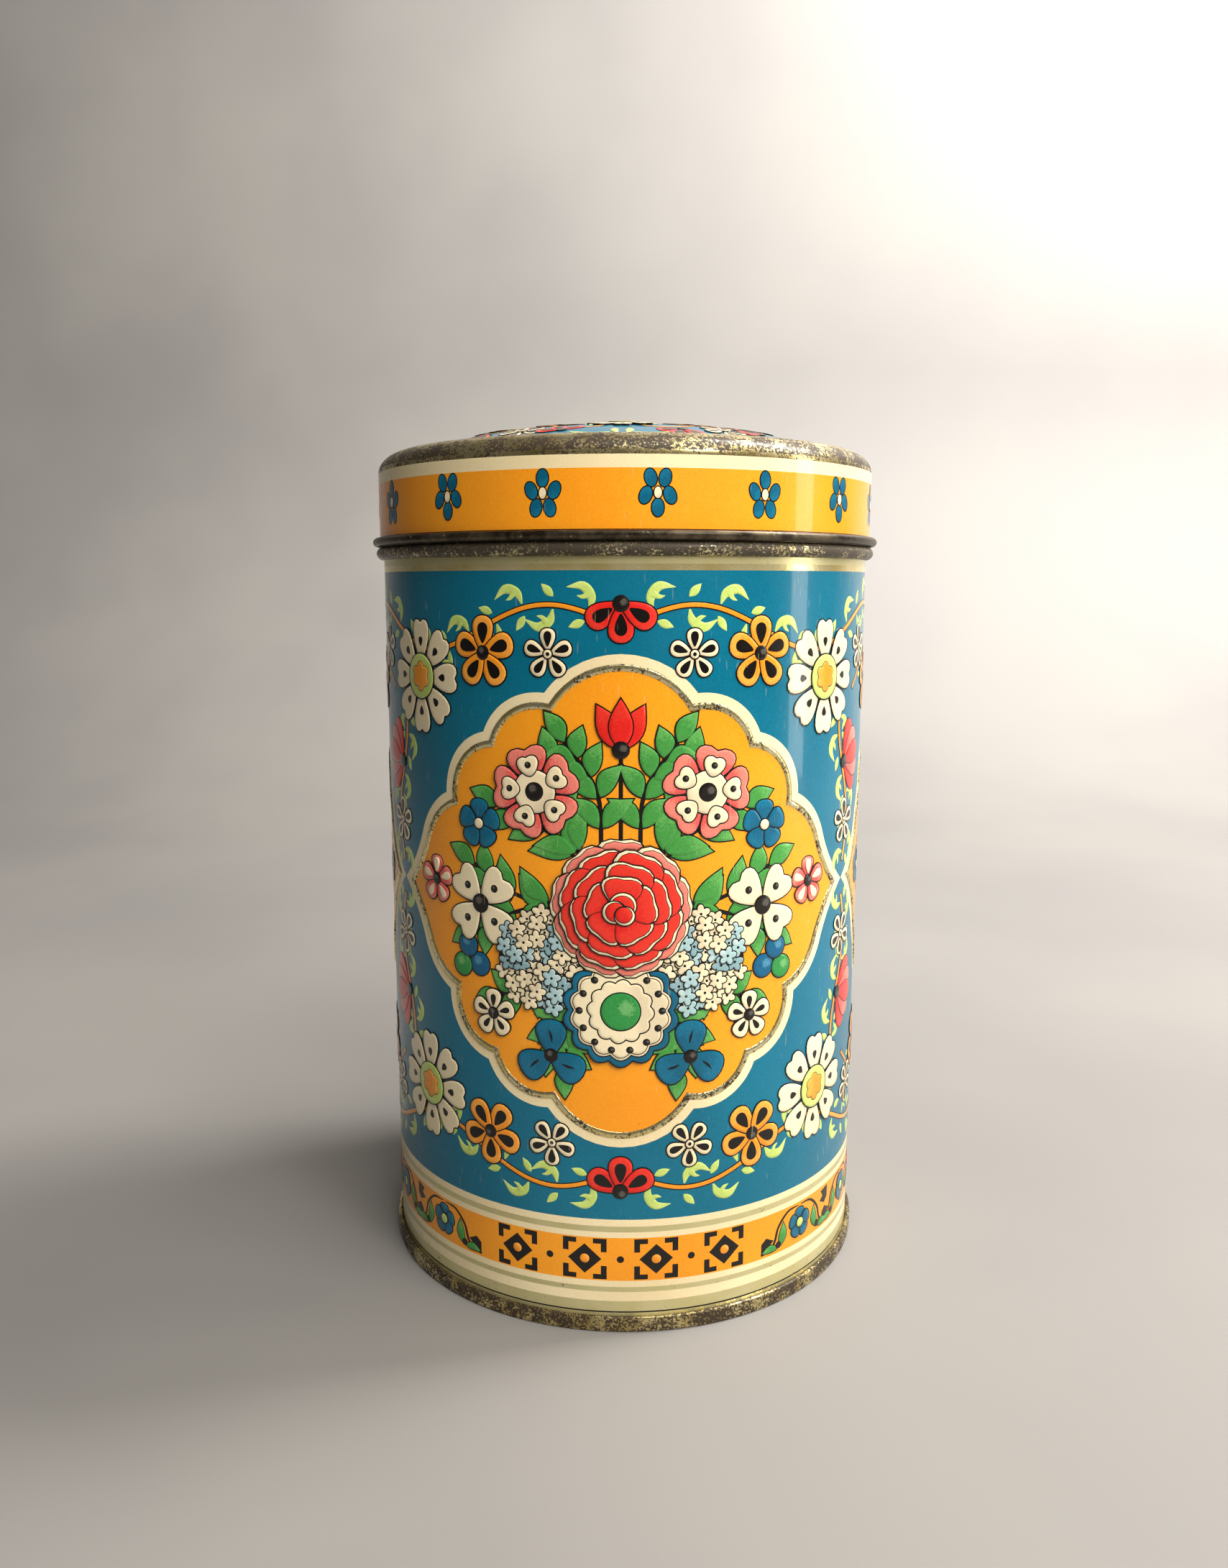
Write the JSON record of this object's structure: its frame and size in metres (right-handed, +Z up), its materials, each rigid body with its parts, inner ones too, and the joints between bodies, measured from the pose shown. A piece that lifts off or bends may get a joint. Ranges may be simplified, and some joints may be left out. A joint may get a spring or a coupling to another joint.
{
  "type": "slip-lid tea tin",
  "caption": "Round tinplate tea tin: a rolled wall with a stop bead and a double-seamed base, and a drawn domed lid that slides off upwards.",
  "frame": {"origin": "centre of the tin's footprint, on the surface it stands on", "axes": "+Z up along the tin's axis, -Y out of the front panel, +Y out of the lock seam at the back, +X to the viewer's right"},
  "size_m": [0.1042, 0.1042, 0.1707],
  "materials": {
    "printed_wall": "lithographed and varnished tinplate, blue, orange and cream with flowers, worn to metal on the raised lines",
    "bare_tinplate": "gold-lacquered tinplate, worn and tarnished dark",
    "printed_lid": "lithographed and varnished tinplate, orange skirt and blue domed top, worn gold shoulder"
  },
  "bodies": {
    "can": {"body_shell": "printed_wall", "base_end": "bare_tinplate"},
    "lid": {"lid_shell": "printed_lid"}
  },
  "joints": [
    {"name": "lid_lift", "type": "slide", "parent": "can", "child": "lid", "axis": [0, 0, 1], "range_m": [0, 0.06]}
  ]
}
